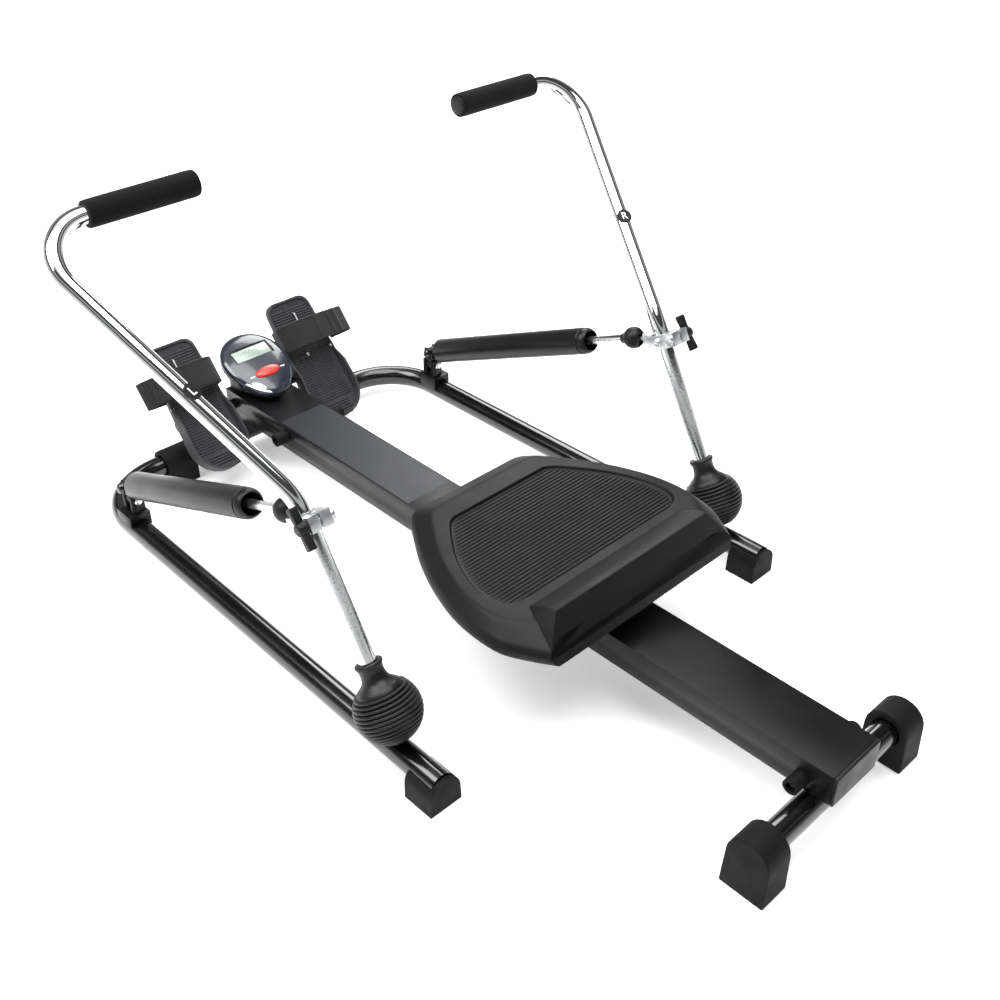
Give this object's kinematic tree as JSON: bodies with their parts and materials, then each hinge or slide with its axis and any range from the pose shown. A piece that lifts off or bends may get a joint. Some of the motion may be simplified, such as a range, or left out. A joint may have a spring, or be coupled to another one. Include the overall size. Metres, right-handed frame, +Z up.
{
  "type": "rowing machine",
  "caption": "Home rowing machine with a sliding seat on a central beam, two swinging chrome arms with hydraulic cylinders, pivoting foot plates and a small monitor.",
  "frame": {"origin": "middle of the machine's footprint, on the floor", "axes": "+X to the rower's right, +Y towards the foot plates and the monitor, +Z up"},
  "size_m": [0.799, 1.1354, 0.5617],
  "materials": {
    "painted_frame": "gloss black powder coat",
    "painted_beam": "satin black powder coat",
    "barrel_paint": "satin black cylinder paint",
    "chrome_tube": "polished chrome plate",
    "zinc": "bright zinc plate",
    "rubber": "matt moulded rubber",
    "boot_rubber": "satin moulded rubber",
    "grip_foam": "closed-cell foam",
    "seat_skin": "satin moulded skin",
    "plate_plastic": "dark grey ribbed nylon",
    "black_plastic": "moulded black nylon",
    "webbing": "woven nylon webbing",
    "monitor_shell": "gloss dark blue-grey",
    "display": "grey-green liquid crystal display",
    "button_red": "gloss red",
    "board": "green laminate"
  },
  "bodies": {
    "frame": {"main_beam": "painted_beam", "beam_rear_cap": "black_plastic", "base_frame": "painted_frame", "frame_saddle": "painted_beam", "rear_cross_tube": "painted_frame", "rear_foot_right": "rubber", "rear_foot_left": "rubber", "side_foot_right": "rubber", "side_foot_left": "rubber", "front_foot_right": "rubber", "front_foot_left": "rubber", "pivot_post_right": "painted_beam", "pivot_post_left": "painted_beam", "pivot_boot_right": "boot_rubber", "pivot_boot_left": "boot_rubber", "saddle_bracket_right": "painted_beam", "saddle_bracket_left": "painted_beam", "rear_stop": "rubber", "front_stop": "rubber", "foot_axle": "painted_beam", "monitor_pedestal": "black_plastic", "monitor_base": "black_plastic", "monitor_top": "monitor_shell", "monitor_lens": "display", "circuit_board": "board"},
    "seat": {"seat_pad": "seat_skin", "seat_carriage": "zinc", "rear_roller_axle": "zinc", "front_roller_axle": "zinc"},
    "rear_wheel": {"rear_roller": "black_plastic"},
    "front_wheel": {"front_roller": "black_plastic"},
    "button": {"monitor_button": "button_red"},
    "cross_right": {"universal_cross_right": "zinc"},
    "arm_right": {"arm_tube_right": "chrome_tube", "foam_grip_right": "grip_foam", "clamp_body_right": "chrome_tube", "clamp_bolt_right": "chrome_tube"},
    "knob_right": {"wing_knob_right": "black_plastic"},
    "liner_right": {"ball_liner_right": "black_plastic"},
    "rod_right": {"rod_ball_right": "black_plastic", "piston_rod_right": "chrome_tube"},
    "yoke_right": {"cylinder_yoke_right": "black_plastic", "yoke_pin_right": "zinc"},
    "barrel_right": {"cylinder_barrel_right": "barrel_paint"},
    "plate_right": {"foot_plate_right": "plate_plastic", "foot_strap_right": "webbing"},
    "cross_left": {"universal_cross_left": "zinc"},
    "arm_left": {"arm_tube_left": "chrome_tube", "foam_grip_left": "grip_foam", "clamp_body_left": "chrome_tube", "clamp_bolt_left": "chrome_tube"},
    "knob_left": {"wing_knob_left": "black_plastic"},
    "liner_left": {"ball_liner_left": "black_plastic"},
    "rod_left": {"rod_ball_left": "black_plastic", "piston_rod_left": "chrome_tube"},
    "yoke_left": {"cylinder_yoke_left": "black_plastic", "yoke_pin_left": "zinc"},
    "barrel_left": {"cylinder_barrel_left": "barrel_paint"},
    "plate_left": {"foot_plate_left": "plate_plastic", "foot_strap_left": "webbing"}
  },
  "joints": [
    {"name": "arm_tilt_right", "type": "hinge", "parent": "frame", "child": "cross_right", "pos_m": [0.2875, -0.1578, 0.0834], "axis": [0, 0.9196, -0.3928], "range_deg": [-2.5, 2.5], "deforming": ["pivot_boot_right"]},
    {"name": "arm_swing_right", "type": "hinge", "parent": "cross_right", "child": "arm_right", "pos_m": [0.2875, -0.1578, 0.0834], "axis": [1, 0, 0], "range_deg": [0, 36], "deforming": ["pivot_boot_right"]},
    {"name": "rod_pitch_right", "type": "hinge", "parent": "arm_right", "child": "liner_right", "pos_m": [0.2865, -0.0004, 0.2708], "axis": [1, 0, 0], "range_deg": [-34, 1]},
    {"name": "rod_yaw_right", "type": "hinge", "parent": "liner_right", "child": "rod_right", "pos_m": [0.2865, -0.0004, 0.2708], "axis": [0, 0.3928, 0.9196], "range_deg": [-2, 2]},
    {"name": "yoke_roll_right", "type": "hinge", "parent": "frame", "child": "yoke_right", "pos_m": [0.2747, 0.4067, 0.0753], "axis": [0, 1, 0], "range_deg": [-2, 2]},
    {"name": "barrel_pitch_right", "type": "hinge", "parent": "yoke_right", "child": "barrel_right", "pos_m": [0.2747, 0.4067, 0.0969], "axis": [1, 0, 0], "range_deg": [-3, 1]},
    {"name": "knob_turn_right", "type": "hinge", "parent": "arm_right", "child": "knob_right", "pos_m": [0.29235, -0.06712, 0.29385], "axis": [0.9997, 0, -0.0231], "continuous": true},
    {"name": "plate_tilt_right", "type": "hinge", "parent": "frame", "child": "plate_right", "pos_m": [0.1055, 0.5083, 0.0851], "axis": [1, 0, 0], "range_deg": [-12, 6]},
    {"name": "arm_tilt_left", "type": "hinge", "parent": "frame", "child": "cross_left", "pos_m": [-0.2875, -0.1578, 0.0834], "axis": [0, -0.9196, 0.3928], "range_deg": [-2.5, 2.5], "deforming": ["pivot_boot_left"]},
    {"name": "arm_swing_left", "type": "hinge", "parent": "cross_left", "child": "arm_left", "pos_m": [-0.2875, -0.1578, 0.0834], "axis": [1, 0, 0], "range_deg": [0, 36], "deforming": ["pivot_boot_left"]},
    {"name": "rod_pitch_left", "type": "hinge", "parent": "arm_left", "child": "liner_left", "pos_m": [-0.2865, -0.0004, 0.2708], "axis": [1, 0, 0], "range_deg": [-34, 1]},
    {"name": "rod_yaw_left", "type": "hinge", "parent": "liner_left", "child": "rod_left", "pos_m": [-0.2865, -0.0004, 0.2708], "axis": [0, -0.3928, -0.9196], "range_deg": [-2, 2]},
    {"name": "yoke_roll_left", "type": "hinge", "parent": "frame", "child": "yoke_left", "pos_m": [-0.2747, 0.4067, 0.0753], "axis": [0, -1, 0], "range_deg": [-2, 2]},
    {"name": "barrel_pitch_left", "type": "hinge", "parent": "yoke_left", "child": "barrel_left", "pos_m": [-0.2747, 0.4067, 0.0969], "axis": [1, 0, 0], "range_deg": [-3, 1]},
    {"name": "knob_turn_left", "type": "hinge", "parent": "arm_left", "child": "knob_left", "pos_m": [-0.29235, -0.06712, 0.29385], "axis": [0.9997, 0, 0.0231], "continuous": true},
    {"name": "plate_tilt_left", "type": "hinge", "parent": "frame", "child": "plate_left", "pos_m": [-0.1055, 0.5083, 0.0851], "axis": [1, 0, 0], "range_deg": [-12, 6]},
    {"name": "seat_slide", "type": "slide", "parent": "frame", "child": "seat", "axis": [0, 1, 0], "range_m": [-0.292, 0.384]},
    {"name": "rear_wheel_roll", "type": "hinge", "parent": "seat", "child": "rear_wheel", "pos_m": [0, -0.2031, 0.1168], "axis": [1, 0, 0], "range_deg": [-1840, 1400]},
    {"name": "front_wheel_roll", "type": "hinge", "parent": "seat", "child": "front_wheel", "pos_m": [0, -0.0631, 0.1168], "axis": [1, 0, 0], "range_deg": [-1840, 1400]},
    {"name": "button_press", "type": "slide", "parent": "frame", "child": "button", "axis": [0, 0.4226, -0.9063], "range_m": [0, 0.0012], "stiffness_N_per_m": 400, "springref_m": -0.0005}
  ],
  "couplings": [
    {"joint": "rod_pitch_right", "follows": "arm_swing_right", "ratio": -0.9221},
    {"joint": "barrel_pitch_right", "follows": "arm_swing_right", "ratio": -0.0682},
    {"joint": "rod_yaw_right", "follows": "arm_tilt_right", "ratio": 0.6041},
    {"joint": "yoke_roll_right", "follows": "arm_tilt_right", "ratio": 0.7065},
    {"joint": "rod_pitch_left", "follows": "arm_swing_left", "ratio": -0.9221},
    {"joint": "barrel_pitch_left", "follows": "arm_swing_left", "ratio": -0.0682},
    {"joint": "rod_yaw_left", "follows": "arm_tilt_left", "ratio": 0.6041},
    {"joint": "yoke_roll_left", "follows": "arm_tilt_left", "ratio": 0.7065},
    {"joint": "rear_wheel_roll", "follows": "seat_slide", "rad_per_m": -83.333},
    {"joint": "front_wheel_roll", "follows": "seat_slide", "rad_per_m": -83.333}
  ]
}
